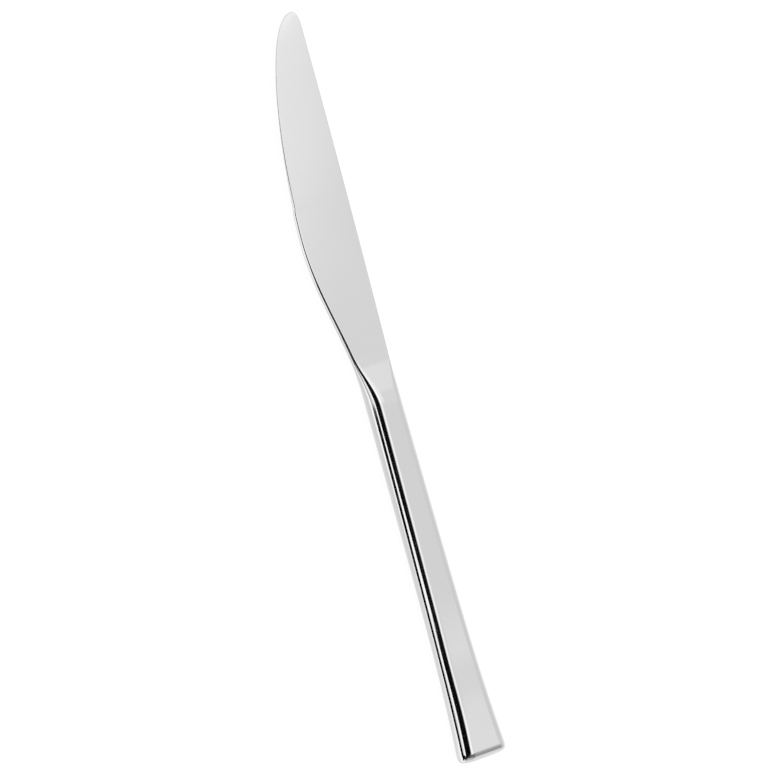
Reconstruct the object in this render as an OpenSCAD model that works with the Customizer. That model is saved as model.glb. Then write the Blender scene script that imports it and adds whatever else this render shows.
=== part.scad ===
// Table knife with a hollow handle.
// The blade, its shoulder and the tang are one forging. Two pressed half shells meet on the
// middle plane and form the handle round a cast core. A thin ring of solder closes the mouth.
// Built along x from the tip at 0 to the butt, with the cutting edge towards -y and the
// handle's own axis on y = 0, then moved so that the knife lies centred on z = 0.

/* [Overall] */
// Length from the tip of the blade to the end of the butt
knife_len = 235; // [225:1:248]

/* [Blade] */
// Length from the tip to the start of the shoulder
blade_len = 106; // [100:1:110]
// Length of the sharpened edge, from the tip to the heel
edge_len = 57; // [52:0.1:64]
// Distance from the tip to the deepest point of the belly
belly_at = 69.3; // [66:0.1:75]
// Depth of the belly below the handle's axis
belly_drop = 13.8; // [12:0.1:15]
// Height of the spine above the handle's axis, at the nose
spine_rise = 8.4; // [7.2:0.1:8.6]
// Height of the tip above the handle's axis
tip_rise = 6.05; // [5.4:0.05:6.9]
// Length of the rounded nose on the spine side
nose_len = 4.6; // [3.4:0.1:7]
// Distance before the handle's joint at which the spine has come down to the neck
spine_back = 10; // [6:0.5:16]
// Thickness of the spine where the shoulder starts
spine_t = 2.4; // [2:0.1:3]
// Thickness of the spine at the tip
tip_t = 1.2; // [1:0.1:1.6]
// Radius of the spine's corners
spine_r = 0.4; // [0.2:0.05:0.5]
// Thickness behind the edge bevel, at the tip
bevel_t = 0.5; // [0.4:0.05:0.7]
// Width of the edge bevel
bevel_w = 0.4; // [0.2:0.05:0.6]
// Thickness left at the very edge
edge_t = 0.2; // [0.1:0.02:0.3]
// Thickness of the edge at the heel, where it turns blunt
heel_t = 1.3; // [1:0.05:1.6]
// Step of the outline at the heel
heel_step = 0.3; // [0.05:0.05:0.5]
// Length over which the edge turns blunt at the heel
heel_run = 1.8; // [0.6:0.2:3]

/* [Shoulder] */
// Length over which the blade thickens into the handle
shoulder_len = 17; // [14:1:22]
// Distance before the shoulder's end at which the edge has come up to the neck
edge_lead = 2; // [0:0.5:6]
// Length of the full section in front of the joint
collar_len = 1; // [0.6:0.2:3]

/* [Handle] */
// Thickness of the handle at its neck and at its butt
handle_t = 7.7; // [7.3:0.1:8.4]
// Thickness of the handle at its waist
waist_t = 6.85; // [6.5:0.05:7.4]
// Distance from the butt to the waist
waist_back = 34; // [30:1:42]
// Distance from the butt over which the full thickness is held
butt_land = 10; // [8:1:14]
// Width of the handle at its neck
neck_w = 12; // [11.4:0.1:13]
// Width of the handle at its butt
butt_w = 17.1; // [15.8:0.1:18.4]
// Part of the widening that comes in the flare at the butt
flare_w = 3.3; // [2:0.1:3.6]
// Depth of the domed end of the butt
dome_d = 3; // [2:0.1:4]
// Depth to which both faces are polished flat
land_cut = 0.04; // [0.02:0.01:0.08]

/* [Inside] */
// Wall of the pressed half shells
wall_t = 0.9; // [0.7:0.1:1.2]
// Thickness of the solder ring at the mouth
solder_t = 0.2; // [0.15:0.05:0.3]
// Length of the spigot that centres the shells
spigot_len = 6; // [4:1:9]
// Clearance between the spigot and the shells, and round the core
fit_gap = 0.08; // [0.05:0.01:0.15]
// Length of the tang behind the spigot
tang_len = 46; // [35:1:60]
// Width of the tang at its root
tang_w = 6.4; // [5:0.2:7]
// Width of the tang at its end
tang_end_w = 4.2; // [3:0.2:5]
// Thickness of the tang
tang_t = 3; // [2.4:0.2:3.6]
// Clearance of the tang in the core
tang_gap = 0.1; // [0.05:0.05:0.2]

/* [Hidden] */

// Run past a face that every cut and every buried end takes
overrun = 1;
// Exponents of the belly's superellipse, along and across the blade
belly_long_exp = 1.62;
belly_deep_exp = 2;
// Exponent of the bow of the spine, where 1 is straight
spine_exp = 1.67;
// Exponents of the thickness behind the bevel up to the heel, and of the blunt edge behind it
grind_exp = 4;
blunt_exp = 2;
// Steepest rise of the face for its width, which thins the nose
nose_slope = 0.07;
// Exponent of the handle's flare at the butt
flare_exp = 5.6;
// Squareness of the domed butt seen from the side, where 2 is an ellipse, and of its end and its
// corners seen from above
dome_exp = 2;
end_exp = 6;
plan_exp = 3;
// Angle through which the dome is drawn before its end is closed flat
dome_turn = 84;
// Roundness of a corner: 2 is a circle and 1 is a straight bevel
round_exp = 2;
bevel_exp = 1.5;
// Share of the sharpened length at which the tip's own outline is taken
tip_share = 0.0006;
// Largest share of the blade's width that one of its corners takes
corner_share = 0.33;
// Closeness of the outlines at the tip, where 1 is even
tip_crowding = 2;

// Numbers of outlines along each stretch, of points round a corner and of sides of a full round
ground_steps = 24;
heel_steps = 4;
blunt_steps = 12;
shoulder_steps = 12;
grip_steps = 22;
flare_steps = 8;
dome_steps = 8;
corner_steps = 6;
round_sides = 48;

// Places along the knife
shoulder_x = blade_len + shoulder_len;
mouth_x = shoulder_x + collar_len;
spine_x = mouth_x - spine_back;
shell_x = mouth_x + solder_t;
dome_x = knife_len - dome_d;
land_x = knife_len - butt_land;
waist_x = knife_len - waist_back;
heel_x = edge_len + heel_run;
spigot_x = mouth_x + spigot_len;
core_x = spigot_x + fit_gap;

// Half sizes
neck_r = neck_w / 2;
butt_r = butt_w / 2;
full_z = handle_t / 2 + land_cut;
waist_z = waist_t / 2;

// Smooth step from 0 at a to 1 at b
function ease(x, a, b) = let (u = min(1, max(0, (x - a) / (b - a)))) u * u * (3 - 2 * u);
function mix(a, b, u) = a + (b - a) * u;

// Outline of the blade seen from above: the spine is slightly bowed and turns down at the nose
function spine_line(x) = mix(spine_rise, neck_r, pow(min(1, x / spine_x), spine_exp));
function nose_dip(x) = let (u = max(0, 1 - x / nose_len))
    (spine_rise - tip_rise) * (1 - sqrt(1 - u * u));
function spine_y(x) = spine_line(x) - nose_dip(x);

// The belly is a quarter of a superellipse, then an easy curve up to the neck
function belly_y(x) = let (u = max(0, 1 - x / belly_at))
    tip_rise - (tip_rise + belly_drop) * pow(1 - pow(u, belly_long_exp), 1 / belly_deep_exp);
function edge_y(x) = x < belly_at
    ? belly_y(x) + heel_step * (1 - ease(x, edge_len, heel_x))
    : mix(-belly_drop, -neck_r, ease(x, belly_at, shoulder_x - edge_lead));

// Share of the shoulder's rise to the handle, and of the change from sharp to blunt at the heel
function shoulder_u(x) = ease(x, blade_len, shoulder_x);
function blunt_u(x) = ease(x, edge_len, heel_x);

// Half thickness at the spine, behind the edge bevel, and at the blunt edge
function blade_z(x) = mix(tip_t, spine_t, min(1, x / blade_len)) / 2;
function ground_z(x) = min(mix(bevel_t, heel_t, pow(min(1, x / edge_len), grind_exp)) / 2, blade_z(x));
function blunt_z(x) = let (u = min(1, max(0, (x - heel_x) / (blade_len - heel_x))))
    mix(heel_t / 2, blade_z(x), 1 - pow(1 - u, blunt_exp));

// One corner of an outline from the middle plane up to the face: yc and zc are the corner's
// centre, ry and rz its radii, side is 1 towards the spine and -1 towards the edge. Its first
// point lies on the middle plane
function corner(yc, zc, ry, rz, side, e) = [for (k = [0:corner_steps])
    let (a = 90 * k / corner_steps)
    [yc + side * ry * pow(cos(a), 2 / e), k == 0 ? 0 : zc + rz * pow(sin(a), 2 / e)]];
function backwards(p) = [for (k = [len(p) - 1:-1:0]) p[k]];
function half_outline(spine_side, edge_side) = concat(spine_side, backwards(edge_side));

// Upper half of the blade's outline at x, from the spine over the face to the edge, which is
// bevelled in front of the heel and full round behind it
function blade_half(x) =
    let (s = shoulder_u(x), b = blunt_u(x), ys = spine_y(x), ye = edge_y(x), zg = ground_z(x))
    let (width = ys - ye, widest = width * corner_share)
    let (zs = mix(min(blade_z(x), zg + width * nose_slope), full_z, s))
    let (rs = min(mix(spine_r, full_z, s), widest), ze = mix(mix(zg, blunt_z(x), b), full_z, s))
    let (ry = min(mix(mix(bevel_w, blunt_z(x), b), full_z, s), widest))
    let (rz = mix(mix(zg - edge_t / 2, blunt_z(x), b), full_z, s), e = mix(bevel_exp, round_exp, b))
    half_outline(corner(ys - rs, zs - min(rs, zs), rs, min(rs, zs), 1, round_exp),
        corner(ye + ry, ze - rz, ry, rz, -1, e));

// Half width and half thickness of the handle
function handle_u(x) = max(0, (x - mouth_x) / (dome_x - mouth_x));
function handle_y(x) = let (u = min(1, handle_u(x)))
    neck_r + (butt_w - neck_w - flare_w) / 2 * u + flare_w / 2 * pow(u, flare_exp);
function handle_z(x) = x < waist_x
    ? mix(full_z, waist_z, ease(x, mouth_x, waist_x))
    : mix(waist_z, full_z, ease(x, waist_x, land_x));

// Upper half of a band of half width y and half thickness r: a flat face between two full round
// sides
function band_half(y, r) = half_outline(
    corner(y - r, 0, r, r, 1, round_exp), corner(r - y, 0, r, r, -1, round_exp));
function handle_half(x, inset) = band_half(handle_y(x) - inset, handle_z(x) - inset);

// The dome of the butt at the angle a: the width stays nearly full up to tight corners, the
// thickness follows an ellipse, and the run goes out to the full length
function dome_half(a, inset) = let (u = pow(sin(a), 2 / dome_exp))
    let (wide = pow(1 - pow(u, end_exp), 1 / plan_exp), thick = pow(cos(a), 2 / dome_exp))
    band_half((butt_r - inset) * wide, (full_z - inset) * thick);
function dome_run(a, inset) = (dome_d - inset) * pow(sin(a) / sin(dome_turn), 2 / dome_exp);

// A station is a place along x and an upper half outline
function blade_stations() = concat(
    [for (k = [0:ground_steps])
        let (u = pow(k / ground_steps, tip_crowding), x = edge_len * u)
        [x, blade_half(max(x, edge_len * tip_share))]],
    [for (k = [1:heel_steps]) let (x = mix(edge_len, heel_x, k / heel_steps)) [x, blade_half(x)]],
    [for (k = [1:blunt_steps]) let (x = mix(heel_x, blade_len, k / blunt_steps)) [x, blade_half(x)]],
    [for (k = [1:shoulder_steps])
        let (x = blade_len + shoulder_len * k / shoulder_steps) [x, blade_half(x)]],
    [[mouth_x, handle_half(mouth_x, 0)]]);
function handle_stations(x0, inset) = concat(
    [for (k = [0:grip_steps]) let (x = mix(x0, waist_x, k / grip_steps)) [x, handle_half(x, inset)]],
    [for (k = [1:flare_steps]) let (x = mix(waist_x, dome_x, k / flare_steps)) [x, handle_half(x, inset)]],
    [for (k = [1:dome_steps]) let (a = dome_turn * k / dome_steps)
        [dome_x + dome_run(a, inset), dome_half(a, inset)]]);

// Points of a station in space, side 1 for the upper half and -1 for the lower
function half_points(st, side) = [for (p = st[1]) [st[0], p[0], side * p[1]]];
function ring_points(st) = concat(half_points(st, 1),
    [for (k = [len(st[1]) - 2:-1:1]) [st[0], st[1][k][0], -st[1][k][1]]]);

// Triangles between two neighbouring rows of points, with n points a row
function strip(first, second, n, closed) = [for (k = [0:closed ? n - 1 : n - 2])
    let (a = first + k, b = first + (k + 1) % n, c = second + (k + 1) % n, d = second + k)
    each [[a, c, b], [a, d, c]]];
function flipped(faces) = [for (f = faces) backwards(f)];
function row(first, n) = [for (k = [0:n - 1]) first + k];

// A solid through closed stations
module loft(stations) {
    rings = [for (st = stations) ring_points(st)];
    n = len(rings[0]);
    last = (len(rings) - 1) * n;
    polyhedron(
        points = [for (r = rings) each r],
        faces = concat(
            [row(0, n)],
            [for (i = [0:len(rings) - 2]) each strip(i * n, (i + 1) * n, n, true)],
            [backwards(row(last, n))]));
}

// Racetrack: a flat between two full round ends
module racetrack(half_w, r) {
    square([2 * (half_w - r), 2 * r], center = true);
    for (side = [-1, 1]) {
        translate([side * (half_w - r), 0]) circle(r = r, $fn = round_sides);
    }
}

// Turns a drawing in y and z to face along x, from x0 over a length
module along_x(x0, length) {
    translate([x0, 0, 0]) rotate([90, 0, 90]) linear_extrude(height = length) children();
}

// Everything outside is cut to the thickness between the two polished faces
module between_faces() {
    intersection() {
        children();
        translate([-overrun, -knife_len / 2, -handle_t / 2])
            cube([knife_len + 2 * overrun, knife_len, handle_t]);
    }
}

// Moves the knife from its own axis to the middle of its footprint
module lay_down() {
    translate([-knife_len / 2, (belly_drop - max(butt_r, spine_rise)) / 2, handle_t / 2]) children();
}

// Tang with straight taper, its root buried in the spigot
module tang_bar(gap, extra) {
    reach = tang_len + extra;
    linear_extrude(height = tang_t + 2 * gap, center = true)
        polygon([
            [spigot_x - overrun, -tang_w / 2 - gap],
            [spigot_x + reach, -tang_end_w / 2 - gap],
            [spigot_x + reach, tang_end_w / 2 + gap],
            [spigot_x - overrun, tang_w / 2 + gap]]);
}

module blade() {
    spigot_r = full_z - wall_t - fit_gap;
    color("silver") lay_down() {
        between_faces() loft(blade_stations());
        along_x(mouth_x - overrun, spigot_len + overrun)
            racetrack(neck_r - wall_t - fit_gap, spigot_r);
        tang_bar(0, 0);
    }
}

module solder_ring() {
    color("gainsboro") lay_down() between_faces()
        along_x(mouth_x, solder_t) difference() {
            racetrack(neck_r, full_z);
            racetrack(neck_r - wall_t, full_z - wall_t);
        }
}

module handle_shell(side) {
    outer = handle_stations(shell_x, 0);
    inner = handle_stations(shell_x, wall_t);
    n = len(outer[0][1]);
    rows = len(outer);
    inside = rows * n;
    last = (rows - 1) * n;
    faces = concat(
        [for (i = [0:rows - 2]) each strip(i * n, (i + 1) * n, n, false)],
        flipped([for (i = [0:rows - 2]) each strip(inside + i * n, inside + (i + 1) * n, n, false)]),
        strip(inside, 0, n, false),
        [backwards(row(last, n)), row(inside + last, n)],
        [for (i = [0:rows - 2]) let (a = i * n, b = inside + i * n)
            each [[a, b, b + n], [a, b + n, a + n]]],
        [for (i = [0:rows - 2]) let (a = i * n + n - 1, b = inside + i * n + n - 1)
            each [[a, b + n, b], [a, a + n, b + n]]],
        [[last, inside + last, inside + last + n - 1, last + n - 1]]);
    between_faces() polyhedron(
        points = concat(
            [for (st = outer) each half_points(st, side)],
            [for (st = inner) each half_points(st, side)]),
        faces = side > 0 ? faces : flipped(faces));
}

module handle_shell_upper() {
    color("silver") lay_down() handle_shell(1);
}

module handle_shell_lower() {
    color("silver") lay_down() handle_shell(-1);
}

module handle_core() {
    color("dimgray") lay_down() difference() {
        loft(handle_stations(core_x, wall_t + fit_gap));
        tang_bar(tang_gap, tang_gap);
    }
}

blade();
solder_ring();
handle_shell_upper();
handle_shell_lower();
handle_core();
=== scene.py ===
# Polished table knife, lying on its handle on a white table.
# The forged blade and the two halves of the hollow handle are drawn here as smooth surfaces.
# The solder ring and the core inside the handle keep their own solids.
import math

import bpy
import numpy as np
from mathutils import Matrix, Vector


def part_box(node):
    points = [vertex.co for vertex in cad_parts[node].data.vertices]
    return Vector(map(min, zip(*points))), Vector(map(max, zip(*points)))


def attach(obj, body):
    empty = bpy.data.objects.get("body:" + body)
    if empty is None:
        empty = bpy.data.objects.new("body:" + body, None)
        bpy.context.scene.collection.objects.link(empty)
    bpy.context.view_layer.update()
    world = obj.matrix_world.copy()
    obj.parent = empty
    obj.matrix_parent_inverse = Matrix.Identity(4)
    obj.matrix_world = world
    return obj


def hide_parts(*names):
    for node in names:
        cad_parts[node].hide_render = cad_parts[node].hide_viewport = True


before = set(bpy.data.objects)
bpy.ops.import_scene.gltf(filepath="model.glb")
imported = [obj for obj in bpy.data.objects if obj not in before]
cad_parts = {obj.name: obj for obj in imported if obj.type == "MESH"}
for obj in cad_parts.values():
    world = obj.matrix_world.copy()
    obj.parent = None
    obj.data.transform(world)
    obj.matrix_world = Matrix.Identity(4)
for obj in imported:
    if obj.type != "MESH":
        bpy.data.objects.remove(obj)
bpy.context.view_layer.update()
mm = 0.001
print("frame loaded,", len(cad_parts), "nodes")

# Places and sizes that the solids give. The solder ring lies between the shoulder's end, mouthX,
# and the shells' start, shellX. Halves are half widths, apart from fullHalf, half the thickness
bladeBox, ringBox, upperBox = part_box("blade"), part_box("solder_ring"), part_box("handle_shell_upper")
tipX, mouthX, shellX, buttX = bladeBox[0].x, ringBox[0].x, ringBox[1].x, upperBox[1].x
axisY, middleZ = (upperBox[0].y + upperBox[1].y) / 2, upperBox[0].z
neckHalf, buttHalf = (ringBox[1].y - ringBox[0].y) / 2, (upperBox[1].y - upperBox[0].y) / 2
fullHalf = upperBox[1].z - middleZ
bellyDrop = axisY - bladeBox[0].y


def lengths(**sizes):  # millimetres to metres
    return {name: size * mm for name, size in sizes.items()}


# Smooth step: 3u^2 - 2u^3, with u running from 0 at start to 1 at end
def ease(x, start, end):
    u = np.clip((x - start) / (end - start), 0, 1)
    return u * u * (3 - 2 * u)


# Straight blend: a + (b - a) u
def mix(a, b, u):
    return a + (b - a) * u


ellipse = 2  # the power at which a superellipse is a plain ellipse


# Quarter of a superellipse from the middle plane up to the face, for all sections at once:
# y = cy + side ry cos(t)^(2/p) and z = cz + rz sin(t)^(2/p), with the first point put on z = 0
def corner(cy, cz, ry, rz, side, power, steps):
    t = np.linspace(0, math.pi / 2, steps + 1)
    c, s = np.cos(t).clip(0, 1), np.sin(t)
    cy, cz, ry, rz, power = (
        np.atleast_1d(a)[:, None] for a in np.broadcast_arrays(cy, cz, ry, rz, power))
    y = cy + side * ry * c ** (2 / power)
    z = np.where(t > 0, cz + rz * s ** (2 / power), 0)
    return np.stack([y, z], axis=2)


# Upper half section: the spine's corner, a straight run a + (b - a) u over the face with its
# points closer at both ends, u = (1 - cos(pi k / n)) / 2, then the edge's corner backwards
def halfSection(spineSide, edgeSide, faceSteps):
    u = (1 - np.cos(np.linspace(0, math.pi, faceSteps + 1)[1:-1, None])) / 2
    face = mix(spineSide[:, -1:], edgeSide[:, -1:], u)
    return np.concatenate([spineSide, face, edgeSide[:, ::-1]], axis=1)


# Half section of a bar with its corners rounded off: half width, half thickness and corner
# radius. With the radius equal to the thickness the sides are full round
def barSection(half, thick, radius, piece):
    middle, steps = half - radius, piece["cornerSteps"]
    sides = [corner(side * middle, thick - radius, radius, radius, side, ellipse, steps)
             for side in (1, -1)]
    return halfSection(*sides, piece["faceSteps"])


# Half sections at x put in their place in space, below the middle plane where side is -1
def inSpace(x, half, side=1):
    xs = np.broadcast_to(x[:, None], half.shape[:2])
    return np.stack([xs, half[..., 0] + axisY, side * half[..., 1] + middleZ], axis=2)


# Closed sections: the upper half, then the lower half back again without its two ends
def closedSections(x, half):
    return np.concatenate([inSpace(x, half), inSpace(x, half[:, -2:0:-1], -1)], axis=1)


# Numbers of the points on a grid, row by row
def pointNumbers(shape):
    return np.arange(shape[0] * shape[1]).reshape(shape)


# Four-sided faces between one row of point numbers and the next
def bridge(first, second):
    return np.stack([first[:-1], second[:-1], second[1:], first[1:]], axis=1).tolist()


# Four-sided faces over a whole grid, each row bridged to the next
def gridFaces(index):
    return [f for first, second in zip(index[:-1], index[1:]) for f in bridge(first, second)]


# Normals of closed sections: the cross product of the differences along and around, turned
# away from the middle of each section
def sectionNormals(points):
    around = np.roll(points, -1, axis=1) - np.roll(points, 1, axis=1)
    n = np.cross(np.gradient(points, axis=0), around)
    n /= np.linalg.norm(n, axis=2, keepdims=True)
    outward = (n * (points - points.mean(axis=1, keepdims=True))).sum(axis=2, keepdims=True)
    return n * np.where(outward < 0, -1, 1)


# New object in the scene, at the origin
def addObject(name, data):
    made = bpy.data.objects.new(name, data)
    bpy.context.scene.collection.objects.link(made)
    return made


# Mesh from points and faces, turned outwards by the sign of its volume, the sum of a . (b x c) / 6.
# Where normals are given, the first exactFaces, all four-sided, take them. The rest keep their own
def meshPiece(name, points, faces, sharpAngle, normals=None, exactFaces=0):
    fans = np.array([(f[0], f[k], f[k + 1]) for f in faces for k in range(1, len(f) - 1)])
    a, b, c = points[fans[:, 0]], points[fans[:, 1]], points[fans[:, 2]]
    if (a * np.cross(b, c)).sum() < 0:
        faces = [f[::-1] for f in faces]
    mesh = bpy.data.meshes.new(name)
    mesh.from_pydata(points, [], faces)
    mesh.shade_smooth()
    mesh.set_sharp_from_angle(angle=math.radians(sharpAngle))
    if normals is not None:
        ends = np.empty(len(mesh.loops), dtype=np.int32)
        mesh.loops.foreach_get("vertex_index", ends)
        given = np.zeros((len(ends), 3))
        given[:4 * exactFaces] = normals[ends[:4 * exactFaces]]
        mesh.normals_split_custom_set(given.tolist())
    return addObject(name, mesh)


# The forged blade, its shoulder, the spigot and the tang: lengths in millimetres, then the powers
# and shares of its curves, then its counts of rows and columns, then the angle in degrees past
# which an edge shows as sharp
blade = dict(
    lengths(
        length=106, edge=57, heelStep=0.3, heelRun=1.8, bellyAt=69.3, spineRise=8.4, tipRise=6.05,
        nose=4.6, spineBack=10, edgeLead=2, spineThick=2.4, tipThick=1.2, spineRound=0.4,
        bevelThick=0.5, bevelWide=0.4, edgeThick=0.2, heelThick=1.3, shoulder=17, spigot=6, tang=46,
        tangWide=6.4, tangEnd=4.2, tangThick=3, tangRound=0.15, wall=0.98),
    bellyLong=1.62, bellyDeep=2, spineBow=1.67, grindPower=4, bluntPower=2, bevelPower=1.5,
    noseSlope=0.07, tipCrowding=2, tipShare=0.0006, cornerShare=0.33,
    groundSteps=190, heelSteps=20, bluntSteps=50, shoulderSteps=90, cornerSteps=12, faceSteps=22,
    sharpAngle=28)


# Outline from above. Spine: rise + (neck - rise) (x / reach)^bow, with the reach ending in front
# of the joint, less the nose's quarter ellipse. Edge: a quarter superellipse
# tip - depth (1 - w^long)^(1/deep) and a small step up at the heel, then an ease to the neck
def bladeOutline(x):
    b = blade
    reach = mouthX - tipX - b["spineBack"]
    dip = np.clip(1 - x / b["nose"], 0, 1)
    spine = mix(b["spineRise"], neckHalf, np.clip(x / reach, 0, 1) ** b["spineBow"])
    spine -= (b["spineRise"] - b["tipRise"]) * (1 - np.sqrt(1 - dip ** 2))
    w = np.clip(1 - x / b["bellyAt"], 0, 1)
    depth = b["tipRise"] + bellyDrop
    belly = b["tipRise"] - depth * (1 - w ** b["bellyLong"]) ** (1 / b["bellyDeep"])
    belly += b["heelStep"] * (1 - ease(x, b["edge"], b["edge"] + b["heelRun"]))
    rise = mix(-bellyDrop, -neckHalf, ease(x, b["bellyAt"], b["length"] + b["shoulder"] - b["edgeLead"]))
    return spine, np.where(x < b["bellyAt"], belly, rise)


# Upper half sections at x: a wedge with a bevel at the edge, which becomes a bar behind the heel,
# full round at the edge and with small round corners at the spine. It grows into the handle's own
# section over the shoulder. Half thickness behind the bevel: tip + (heel - tip) (x / edge)^grind.
# Half thickness of the bar's edge: heel + (spine - heel) (1 - (1 - u)^blunt), with u from the
# heel to the shoulder
def bladeSections(x):
    b, steps = blade, blade["cornerSteps"]
    spine, edge = bladeOutline(x)
    heel = b["edge"] + b["heelRun"]
    full = ease(x, b["length"], b["length"] + b["shoulder"])
    blunt = ease(x, b["edge"], heel)
    wide = spine - edge
    widest = wide * b["cornerShare"]
    thick = mix(b["tipThick"], b["spineThick"], np.clip(x / b["length"], 0, 1)) / 2
    ground = mix(b["bevelThick"], b["heelThick"], np.clip(x / b["edge"], 0, 1) ** b["grindPower"]) / 2
    u = np.clip((x - heel) / (b["length"] - heel), 0, 1)
    bar = mix(b["heelThick"] / 2, thick, 1 - (1 - u) ** b["bluntPower"])
    ground = np.minimum(ground, thick)
    face = np.minimum(thick, ground + wide * b["noseSlope"])
    spineZ, edgeZ = mix(face, fullHalf, full), mix(mix(ground, bar, blunt), fullHalf, full)
    spineR = np.minimum(mix(b["spineRound"], fullHalf, full), widest)
    spineRz = np.minimum(spineR, spineZ)
    edgeR = np.minimum(mix(mix(b["bevelWide"], bar, blunt), fullHalf, full), widest)
    edgeRz = mix(mix(ground - b["edgeThick"] / 2, bar, blunt), fullHalf, full)
    edgePower = mix(b["bevelPower"], ellipse, blunt)
    return halfSection(
        corner(spine - spineR, spineZ - spineRz, spineR, spineRz, 1, ellipse, steps),
        corner(edge + edgeR, edgeZ - edgeRz, edgeR, edgeRz, -1, edgePower, steps), b["faceSteps"])


# Rows from the tip, closer towards it by x = edge (k / n)^crowding, then even rows over the heel,
# the blunt stretch and the shoulder, and two plain bars, the spigot and the tang
def makeBlade():
    b = blade
    heel, shoulder = b["edge"] + b["heelRun"], b["length"] + b["shoulder"]
    x = np.concatenate([
        b["edge"] * np.linspace(0, 1, b["groundSteps"] + 1) ** b["tipCrowding"],
        np.linspace(b["edge"], heel, b["heelSteps"] + 1)[1:],
        np.linspace(heel, b["length"], b["bluntSteps"] + 1)[1:],
        np.linspace(b["length"], shoulder, b["shoulderSteps"] + 1)[1:],
        [mouthX - tipX]])
    outer = bladeSections(np.maximum(x, b["edge"] * b["tipShare"]))
    spigotHalf, spigotThick = neckHalf - b["wall"], fullHalf - b["wall"]
    spigot = barSection(spigotHalf, spigotThick, spigotThick, b)
    tang, tangEnd = (barSection(b[wide] / 2, b["tangThick"] / 2, b["tangRound"], b)
                     for wide in ("tangWide", "tangEnd"))
    spigotEnd = x[-1] + b["spigot"]
    x = np.concatenate([x, [x[-1], spigotEnd, spigotEnd, spigotEnd + b["tang"]]]) + tipX
    rings = closedSections(x, np.concatenate([outer, spigot, spigot, tang, tangEnd]))
    index = pointNumbers(rings.shape[:2])
    loops = np.hstack([index, index[:, :1]])
    # The faces from the heel to the mouth come first, because they take the exact normals
    heelRow, mouthRow = b["groundSteps"] + b["heelSteps"], len(outer) - 1
    polished = gridFaces(loops[heelRow:mouthRow + 1])
    faces = polished + gridFaces(loops[:heelRow + 1]) + gridFaces(loops[mouthRow:])
    faces += [index[0].tolist(), index[-1][::-1].tolist()]
    normals = np.zeros(rings.shape)
    normals[:mouthRow + 1] = sectionNormals(rings[:mouthRow + 1])
    piece = meshPiece(
        "knifeBlade", rings.reshape(-1, 3), faces, b["sharpAngle"], normals.reshape(-1, 3), len(polished))
    # Share of the ground bevel at each point: 1 from the face's end of the bevel to the edge
    ground = np.zeros(rings.shape[:2])
    corners = b["cornerSteps"] + 1
    firstGround = corners + b["faceSteps"] - 1
    ground[:b["groundSteps"] + 1, firstGround:firstGround + 2 * corners - 2] = 1
    piece.data.attributes.new("ground", "FLOAT", "POINT").data.foreach_set("value", ground.ravel())
    return piece


# The two pressed halves of the handle: lengths in millimetres, then the powers of its curves and
# the angle at which the dome ends, then its counts and its sharp angle, as for the blade
handle = dict(
    lengths(waistThick=6.85, waistBack=34, land=10, flare=3.3, dome=3, wall=0.9),
    flarePower=5.6, domePower=2, endPower=6, planPower=3, domeTurn=88.5,
    gripSteps=84, flareSteps=60, domeSteps=30, cornerSteps=24, faceSteps=14, sharpAngle=30)


# Half width: a straight widening with a flare u^power added. Half thickness: full at the neck
# and the butt with a smooth step down to the waist and up again. Dome at the angle a, with
# v = sin(a)^(2/p): width b (1 - v^end)^(1/plan), thickness c cos(a)^(2/p), run d v / v(turn)
def handleSections(inset):
    h = handle
    domeX, waistX = buttX - h["dome"], buttX - h["waistBack"]
    x = np.concatenate([
        np.linspace(shellX, waistX, h["gripSteps"] + 1),
        np.linspace(waistX, domeX, h["flareSteps"] + 1)[1:]])
    u = np.clip((x - mouthX) / (domeX - mouthX), 0, 1)
    flare = h["flare"] / 2
    half = neckHalf + (buttHalf - neckHalf - flare) * u + flare * u ** h["flarePower"]
    waist = ease(x, mouthX, waistX) - ease(x, waistX, buttX - h["land"])
    thick = mix(fullHalf, h["waistThick"] / 2, waist)
    turn = np.radians(np.linspace(0, h["domeTurn"], h["domeSteps"] + 1)[1:])
    v = np.sin(turn) ** (2 / h["domePower"])
    run = (h["dome"] - inset) * v / v[-1]
    domeHalf = (buttHalf - inset) * (1 - v ** h["endPower"]) ** (1 / h["planPower"])
    domeThick = (fullHalf - inset) * np.cos(turn) ** (2 / h["domePower"])
    half, thick = np.concatenate([half - inset, domeHalf]), np.concatenate([thick - inset, domeThick])
    return np.concatenate([x, domeX + run]), barSection(half, thick, thick, h)


# Half shell: the outer skin, the inner skin a wall's thickness inside it and turned the other
# way, and the plain faces that join them at the mouth, along both seams and at the butt
def makeShell(name, side):
    x, outerHalf = handleSections(0)
    innerX, innerHalf = handleSections(handle["wall"])
    outer, inner = inSpace(x, outerHalf, side), inSpace(innerX, innerHalf, side)
    rows, columns = outer.shape[:2]
    index = pointNumbers((rows, columns))
    inside = index + rows * columns
    skin = gridFaces(index)
    faces = skin + gridFaces(inside[:, ::-1]) + bridge(inside[0], index[0])
    faces += bridge(index[:, 0], inside[:, 0]) + bridge(inside[:, -1], index[:, -1])
    faces += [index[-1][::-1].tolist(), inside[-1].tolist()]
    faces += [[index[-1, 0], inside[-1, 0], inside[-1, -1], index[-1, -1]]]
    normals = sectionNormals(closedSections(x, outerHalf))[:, :columns] * (1, 1, side)
    points = np.concatenate([outer.reshape(-1, 3), inner.reshape(-1, 3)])
    return meshPiece(name, points, faces, handle["sharpAngle"], normals.reshape(-1, 3), len(skin))


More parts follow.
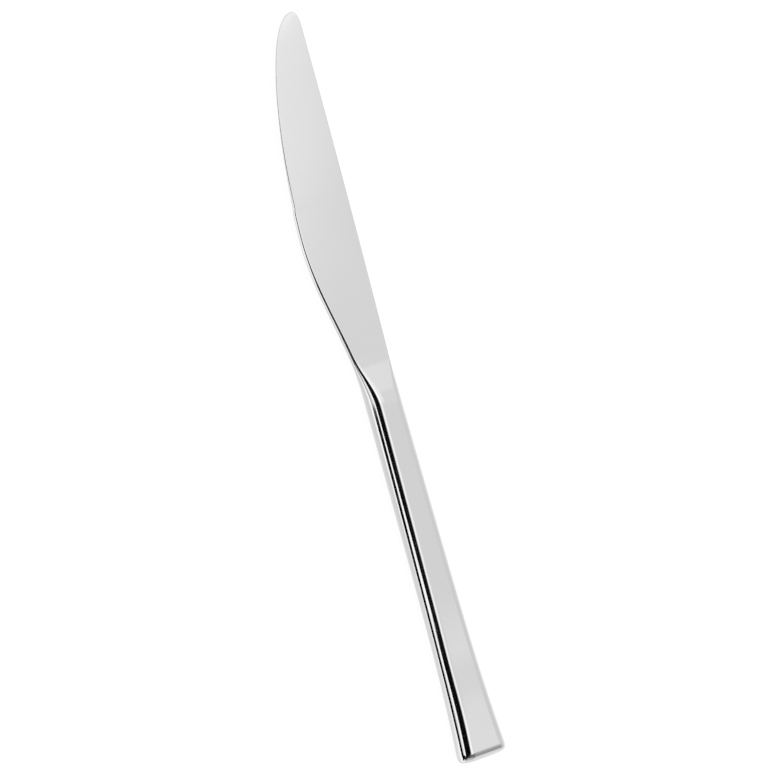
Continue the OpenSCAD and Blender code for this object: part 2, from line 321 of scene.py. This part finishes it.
# A socket that can be added, subtracted, multiplied and raised like a number
class Signal:
    def __init__(self, finish, socket):
        self.finish, self.socket = finish, socket

    def combine(self, operation, a, b):
        return self.finish.node("ShaderNodeMath", {"operation": operation}, {0: a, 1: b})

    def __add__(self, other):
        return self.combine("ADD", self, other)

    def __sub__(self, other):
        return self.combine("SUBTRACT", self, other)

    def __rsub__(self, other):
        return self.combine("SUBTRACT", other, self)

    def __mul__(self, other):
        return self.combine("MULTIPLY", self, other)

    def __pow__(self, other):
        return self.combine("POWER", self, other)

    __radd__, __rmul__ = __add__, __mul__


# A node tree, of a material or of the world, that nodes are added to one by one
class Finish:
    def __init__(self, owner):
        owner.use_nodes = True
        self.owner, self.tree = owner, owner.node_tree
        self.tree.nodes.clear()

    # Settings come first, then the values or links of the sockets. "stops" are a ramp's places
    # and grey levels
    def node(self, kind, settings=None, sockets=None, output=0):
        made = self.tree.nodes.new(kind)
        for name, value in (settings or {}).items():
            if name == "stops":
                self.setStops(made.color_ramp, value)
            else:
                setattr(made, name, value)
        for name, value in (sockets or {}).items():
            if isinstance(value, Signal):
                self.tree.links.new(value.socket, made.inputs[name])
            else:
                made.inputs[name].default_value = value
        return Signal(self, made.outputs[output]) if made.outputs else made

    def setStops(self, ramp, stops):
        while len(ramp.elements) < len(stops):
            ramp.elements.new(0.5)  # placed just below
        for element, (place, level) in zip(ramp.elements, stops):
            element.position, element.color = place, (level, level, level, 1)

    # Noise with its pattern stretched along each axis: larger numbers are finer
    def noise(self, scale, detail, turn=(0, 0, 0)):
        place = self.node("ShaderNodeTexCoord", output="Object")
        place = self.node("ShaderNodeMapping", {}, {"Vector": place, "Scale": scale, "Rotation": turn})
        return self.node("ShaderNodeTexNoise", {}, {"Vector": place, "Scale": 1.0, "Detail": detail})

    # Surface with its sockets' values and links, and a bump of this height in millimetres
    def surface(self, sockets, height):
        bump = self.node("ShaderNodeBump", {}, {"Strength": 1.0, "Distance": mm, "Height": height})
        shader = self.node("ShaderNodeBsdfPrincipled", {}, {**sockets, "Normal": bump})
        self.node("ShaderNodeOutputMaterial", {}, {"Surface": shader})
        return self.owner

    # Metal of an even grey tone
    def metal(self, tone, roughness, height):
        colour = self.node("ShaderNodeCombineColor", {}, {"Red": tone, "Green": tone, "Blue": tone})
        return self.surface({"Base Color": colour, "Metallic": 1.0, "Roughness": roughness}, height)


def newFinish(name):
    return Finish(bpy.data.materials.new(name))


# Mirror-polished steel. Sizes are patterns in a metre, depths are in metres and turns in radians.
# The polishing lines run across the blade and along the handle
steel = dict(
    colour=0.655, colourSpread=0.02, roughness=0.085, roughnessSpread=0.05, smearSize=60,
    lineAlong=90, lineAcross=9000, lineDepth=0.06e-6, waveSize=70, waveDepth=1.2e-6,
    scratchAlong=160, scratchAcross=5200, scratchTurn=(0.1, 0.05, 0.4), scratchLevel=0.66,
    scratchRamp=0.05, scratchRough=0.12, groundRough=0.2, noiseMiddle=0.5)


# Scale of a pattern drawn out along y where a piece is polished across, and along x elsewhere
def drawnOut(across, along, side):
    return (side, along, side) if across else (along, side, side)


# Roughness: level + spread (smear - middle) + the scratches, and more on the ground bevel. The
# tone follows the same smear. Height: lines and wave, each times its depth
def polishedSteel(name, across, groundAttribute=None):
    s, finish = steel, newFinish(name)
    lines = finish.noise(drawnOut(across, s["lineAlong"], s["lineAcross"]), detail=3.0)
    wave = finish.noise((s["waveSize"],) * 3, detail=1.0)
    smear = finish.noise((s["smearSize"],) * 3, detail=3.0) - s["noiseMiddle"]
    scratch = finish.noise(
        drawnOut(across, s["scratchAlong"], s["scratchAcross"]), detail=1.0, turn=s["scratchTurn"])
    stops = [(s["scratchLevel"], 0), (s["scratchLevel"] + s["scratchRamp"], 1)]
    scratch = finish.node("ShaderNodeValToRGB", {"stops": stops}, {"Fac": scratch})
    roughness = smear * s["roughnessSpread"] + s["roughness"] + scratch * s["scratchRough"]
    if groundAttribute:
        ground = finish.node("ShaderNodeAttribute", {"attribute_name": groundAttribute}, output="Fac")
        roughness = roughness + ground * s["groundRough"]
    height = lines * (s["lineDepth"] / mm) + wave * (s["waveDepth"] / mm)
    return finish.metal(smear * s["colourSpread"] + s["colour"], roughness, height)


# Bright solder, polished flush with the steel beside it
solder = dict(
    grainSize=2600, grainDepth=0.05e-6, colour=0.645, colourSpread=0.02, roughness=0.065,
    roughnessSpread=0.04)


def solderFinish():
    s, finish = solder, newFinish("ringSolder")
    grain = finish.noise((s["grainSize"],) * 3, detail=3.0)
    tone = grain * s["colourSpread"] + s["colour"]
    roughness = grain * s["roughnessSpread"] + s["roughness"]
    return finish.metal(tone, roughness, grain * (s["grainDepth"] / mm))


# Grey cement with sand in it and small pores. Tones are a ramp's stops over the sand. Height:
# sand's depth times its noise + the pores' depth times their noise^power, low in each pore
cement = dict(
    sandSize=2200, sandDepth=50e-6, tones=[(0.3, 0.12), (0.5, 0.2), (0.7, 0.3)],
    poreSize=420, poreDepth=200e-6, porePower=3, roughness=0.95, poreGloss=0.1)


def cementFinish():
    c, finish = cement, newFinish("coreCement")
    sand = finish.noise((c["sandSize"],) * 3, detail=4.0)
    pores = finish.noise((c["poreSize"],) * 3, detail=2.0)
    colour = finish.node("ShaderNodeValToRGB", {"stops": c["tones"]}, {"Fac": sand})
    roughness = c["roughness"] - pores * c["poreGloss"]
    height = sand * (c["sandDepth"] / mm) + pores ** c["porePower"] * (c["poreDepth"] / mm)
    return finish.surface({"Base Color": colour, "Roughness": roughness}, height)


bladePiece = makeBlade()
bladePiece.data.materials.append(polishedSteel("bladeSteel", across=True, groundAttribute="ground"))
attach(bladePiece, "root")
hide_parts("blade")
print("blade drawn,", len(bladePiece.data.polygons), "faces")

shellSteel = polishedSteel("handleSteel", across=False)
shells = (("shellUpper", "handle_shell_upper", 1), ("shellLower", "handle_shell_lower", -1))
for shellName, nodeName, side in shells:
    shellPiece = makeShell(shellName, side)
    shellPiece.data.materials.append(shellSteel)
    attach(shellPiece, "root")
    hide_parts(nodeName)
print("handle drawn,", len(shellPiece.data.polygons), "faces a shell")

for nodeName, material in (("solder_ring", solderFinish()), ("handle_core", cementFinish())):
    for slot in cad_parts[nodeName].material_slots:
        slot.material = material
print("solder and cement laid on their solids")


# The photograph's frame: its size in pixels, the pixel where the model's origin falls, a pixel's
# size, and the knife's turn about its own length, its pitch and its lean in the picture, in degrees
photo = dict(
    width=780, height=781, originX=365.14, originY=391.48, pixel=0.3041 * mm,
    turn=36, pitch=-5, lean=15.68)
cameraAway, sensorWide = 8.0, 36.0  # metres, and the sensor's own millimetres


# The camera looks against back, (sin p, -cos p sin t, cos p cos t) for the turn t and the pitch p.
# The direction to the tip and the one over the knife, square to it, lie in the picture, and the
# lean turns them into up and right
def makeCamera():
    turn, pitch, lean = (math.radians(photo[name]) for name in ("turn", "pitch", "lean"))
    back = Vector((math.sin(pitch), -math.cos(pitch) * math.sin(turn), math.cos(pitch) * math.cos(turn)))
    along = Vector((
        -math.cos(pitch), -math.sin(pitch) * math.sin(turn), math.sin(pitch) * math.cos(turn)))
    over = Vector((0, math.cos(turn), math.sin(turn)))
    right = math.cos(lean) * over - math.sin(lean) * along
    up = math.cos(lean) * along + math.sin(lean) * over
    aim = photo["pixel"] * ((photo["width"] / 2 - photo["originX"]) * right
                            - (photo["height"] / 2 - photo["originY"]) * up)
    camera = addObject("camera", bpy.data.cameras.new("camera"))
    camera.data.sensor_width = sensorWide
    camera.data.lens = sensorWide * cameraAway / (max(photo["width"], photo["height"]) * photo["pixel"])
    axes = Matrix((right, up, back)).transposed().to_4x4()
    camera.matrix_world = Matrix.Translation(aim + back * cameraAway) @ axes
    bpy.context.scene.camera = camera


makeCamera()
print("camera set")

# Table and light, in metres and watts. Boards and cards are seen only in reflections, as a
# photographer's black and white boards are. A sky board has boardPoints points along each side
studio = dict(
    world=0.75, floorGlow=0.92, floorColour=0.12, floorHalf=10.0,
    lampSide=0.9, lampHeight=1.3, lampPower=2.4, boardsAway=1.5, boardStep=0.01, boardPoints=145)


# Grid of points that glows with its level and is as solid as its cover, both given at each point
def placeCard(name, points, level, cover):
    shape = points.shape[:2]
    mesh = bpy.data.meshes.new(name)
    mesh.from_pydata(points.reshape(-1, 3), [], gridFaces(pointNumbers(shape)))
    finish = newFinish(name)
    signals = {}
    for key, values in (("level", level), ("cover", cover)):
        values = np.broadcast_to(values, shape).ravel()
        mesh.attributes.new(key, "FLOAT", "POINT").data.foreach_set("value", values)
        signals[key] = finish.node("ShaderNodeAttribute", {"attribute_name": key}, output="Fac")
    glow = finish.node("ShaderNodeEmission", {}, {"Color": signals["level"]})
    clear = finish.node("ShaderNodeBsdfTransparent")
    shader = finish.node("ShaderNodeMixShader", {}, {0: signals["cover"], 1: clear, 2: glow})
    finish.node("ShaderNodeOutputMaterial", {}, {"Surface": shader})
    mesh.materials.append(finish.owner)
    card = addObject(name, mesh)
    card.visible_camera = card.visible_diffuse = card.visible_transmission = card.visible_shadow = False


# Cover over a span, which rises from 0 and falls back to 0 by an ease over the two fades
def fadedSpan(values, first, last):
    rise = ease(values, values[0], values[0] + first) if first else 1
    fall = 1 - ease(values, values[-1] - last, values[-1]) if last else 1
    return rise * fall * np.ones(len(values))


# Direction: (cos e sin a, -cos e cos a, sin e), with azimuth 0 on the edge's side of the knife and
# 90 beyond the butt
def directions(azimuths, elevations):
    a, e = np.radians(azimuths), np.radians(elevations)
    x, y, z = np.broadcast_arrays(np.cos(e) * np.sin(a), -np.cos(e) * np.cos(a), np.sin(e))
    return np.stack([x, y, z], axis=-1)


# Part of a sphere round the knife: the directions times the distance. The level eases from the
# first to the second over the azimuths of turn. Fades are in degrees, at the lowest and highest
# azimuth and elevation. Each board stands a little nearer than the one before
def skyBoard(name, azimuth, elevation, levels, fades, away, turn=(0, 90)):
    a, e = (np.linspace(*span, studio["boardPoints"]) for span in (azimuth, elevation))
    cover = fadedSpan(a, *fades[:2])[:, None] * fadedSpan(e, *fades[2:])
    level = mix(*levels, ease(a, *turn))[:, None]
    placeCard(name, away * directions(a[:, None], e), level, cover)


skyBoards = dict(
    whiteBoard=dict(azimuth=(-75, 22), elevation=(9, 40), levels=(1.45, 1.45), fades=(0, 6, 4, 0)),
    darkBoard=dict(azimuth=(-75, 34), elevation=(34, 72), levels=(0.002, 0.002), fades=(0, 3, 0, 0)),
    farBoard=dict(azimuth=(110, 250), elevation=(0.5, 44), levels=(0.92, 0.92), fades=(10, 10, 0, 14)),
    endBoard=dict(
        azimuth=(35, 175), elevation=(8, 78), levels=(0.15, 0.92), turn=(95, 175), fades=(10, 2, 8, 22)),
    cornerBoard=dict(
        azimuth=(9.5, 125), elevation=(24, 66), levels=(0.01, 0.2), turn=(25, 60), fades=(4, 25, 3, 8)),
    cornerFoot=dict(azimuth=(15, 70), elevation=(5, 24), levels=(0.01, 0.01), fades=(4, 35, 4, 0)),
    cornerGlow=dict(azimuth=(28, 115), elevation=(6, 42), levels=(0.75, 0.75), fades=(35, 20, 6, 8)))


# Two long dark boards beside the handle. From each place along the handle's side a board lies
# round an elevation that eases from the first angle to the second over the stretch of turn, and
# to the third at the butt. It stops short of the table: min(reach, (height - clear) / sin(-e))
sideBoards = dict(
    lowBoard=dict(elevation=(10, -13.5, 1), halfWide=(14, 18), fadeIn=(-3 * mm, 7 * mm)),
    skirtBoard=dict(elevation=(33, 33, 30), halfWide=(7, 7), fadeIn=(66 * mm, 80 * mm)))
sideShared = dict(
    xs=(-12 * mm, 130 * mm), turn=(6 * mm, 96 * mm), buttTurn=(100 * mm, 119 * mm), azimuth=6,
    reach=60 * mm, height=5.6 * mm, clear=0.5 * mm, level=0.002, rows=141, columns=33)


def makeSideBoard(name, elevation, halfWide, fadeIn):
    b = sideShared
    x = np.linspace(*b["xs"], b["rows"])[:, None]
    atButt = ease(x, *b["buttTurn"])
    middle = mix(mix(*elevation[:2], ease(x, *b["turn"])), elevation[2], atButt)
    e = middle + mix(*halfWide, atButt) * np.linspace(-1, 1, b["columns"])
    room = b["height"] - b["clear"]
    away = room / np.maximum(np.sin(np.radians(-e)), room / b["reach"])
    side = axisY - mix(neckHalf, buttHalf, x / buttX)
    start = np.stack(np.broadcast_arrays(x, side, np.full(e.shape, b["height"])), axis=2)
    points = start + away[..., None] * directions(b["azimuth"], e)
    placeCard(name, points, b["level"], ease(x, *fadeIn))


# Cards flat above the table on both sides of the handle, a painted reflection of the table in the steel.
# Level: inner + (outer - inner) ease(d), with the distance d = reach (k / n)^crowding from the handle's
# side. Beside the handle the near card is dimmer, a painted shade, and it is brighter farther out; the
# far card is even. Pairs of values are those at the neck and the butt, with an ease between them over the
# stretch of turn
floorCards = dict(
    # Near card: painted shade of the mirrored table beside the handle, a brighter painted table farther
    # out
    nearCard=dict(
        side=-1, inner=(0.95, 1.06), outer=1.5, start=(4 * mm, 1 * mm), end=(18 * mm, 10 * mm)),
    farCard=dict(side=1, inner=(1.1, 1.1), outer=1.1, start=(0, 0), end=(1, 1)))
floorShared = dict(
    lift=0.3 * mm, reach=300 * mm, xs=(-130 * mm, 140 * mm), turn=(30 * mm, 100 * mm),
    points=97, crowding=2)


def makeFloorCard(name, side, inner, outer, start, end):
    f = floorShared
    x = np.linspace(*f["xs"], f["points"])[:, None]
    d = np.linspace(0, 1, f["points"]) ** f["crowding"] * f["reach"]
    inner, start, end = (mix(*pair, ease(x, *f["turn"])) for pair in (inner, start, end))
    points = np.stack(np.broadcast_arrays(x, axisY + side * (buttHalf + d), f["lift"]), axis=2)
    placeCard(name, points, mix(inner, outer, ease(d, start, end)), 1)


# Light panel overhead. It rises from black at its near border, is brightest just behind it and
# even farther on. Each step is a level added by an ease over y times an ease over x
everywhere = (-9, -8)  # an ease that is over before the panel begins
overhead = dict(
    height=0.4, xs=(-0.4, 0.22), ys=(-0.145, 0.38), points=241, rise=(-0.145, -0.06),
    fadeX=(0.175, 0.22), fadeY=(0.3, 0.38),
    steps=[
        (0.4, (0.05, 0), everywhere), (0.2, (0.29, 0.235), (0.02, -0.03)),
        (0.1, everywhere, (-0.085, -0.115)), (-0.035, everywhere, (0.02, 0.06)),
        (0.12, everywhere, (0.115, 0.132))])


def makeOverhead():
    p = overhead
    x, y = np.linspace(*p["xs"], p["points"])[:, None], np.linspace(*p["ys"], p["points"])
    level = 1 + sum(size * ease(y, *overY) * ease(x, *overX) for size, overY, overX in p["steps"])
    points = np.stack(np.broadcast_arrays(x, y, p["height"]), axis=2)
    cover = (1 - ease(x, *p["fadeX"])) * (1 - ease(y, *p["fadeY"]))
    placeCard("overhead", points, level * ease(y, *p["rise"]), cover)


# Share of the rays for which a surface shows as white: seen straight, mirrored or through glass
def shownWhite(finish):
    rays = {name: finish.node("ShaderNodeLightPath", output=name)
            for name in ("Is Camera Ray", "Is Glossy Ray", "Is Transmission Ray")}
    return rays["Is Camera Ray"] + rays["Is Glossy Ray"] + rays["Is Transmission Ray"]


# White world that lights the knife at its own level, a flat table and a square lamp above it
def makeStudio():
    s = studio
    world = Finish(bpy.data.worlds.new("studio"))
    bpy.context.scene.world = world.owner
    strength = shownWhite(world) * (1 - s["world"]) + s["world"]
    white = world.node("ShaderNodeBackground", {}, {"Color": (1, 1, 1, 1), "Strength": strength})
    world.node("ShaderNodeOutputWorld", {}, {"Surface": white})
    half = s["floorHalf"]
    mesh = bpy.data.meshes.new("table")
    corners = [(-half, -half, 0), (half, -half, 0), (half, half, 0), (-half, half, 0)]
    mesh.from_pydata(corners, [], [(0, 1, 2, 3)])
    table = addObject("table", mesh)
    top = newFinish("tableWhite")
    matt = top.node("ShaderNodeBsdfDiffuse", {}, {"Color": (s["floorColour"],) * 3 + (1,)})
    glow = top.node("ShaderNodeEmission", {}, {"Strength": shownWhite(top) * s["floorGlow"]})
    shader = top.node("ShaderNodeAddShader", {}, {0: matt, 1: glow})
    top.node("ShaderNodeOutputMaterial", {}, {"Surface": shader})
    mesh.materials.append(top.owner)
    lamp = addObject("softbox", bpy.data.lights.new("softbox", "AREA"))
    lamp.data.shape, lamp.data.size, lamp.data.energy = "SQUARE", s["lampSide"], s["lampPower"]
    lamp.location = (0, 0, s["lampHeight"])
    lamp.visible_glossy = False


makeStudio()
makeOverhead()
for boardCount, (boardName, board) in enumerate(skyBoards.items()):
    skyBoard(boardName, away=studio["boardsAway"] - studio["boardStep"] * boardCount, **board)
for boardName, board in sideBoards.items():
    makeSideBoard(boardName, **board)
for cardName, card in floorCards.items():
    makeFloorCard(cardName, **card)

bpy.context.scene.view_settings.view_transform = "Standard"
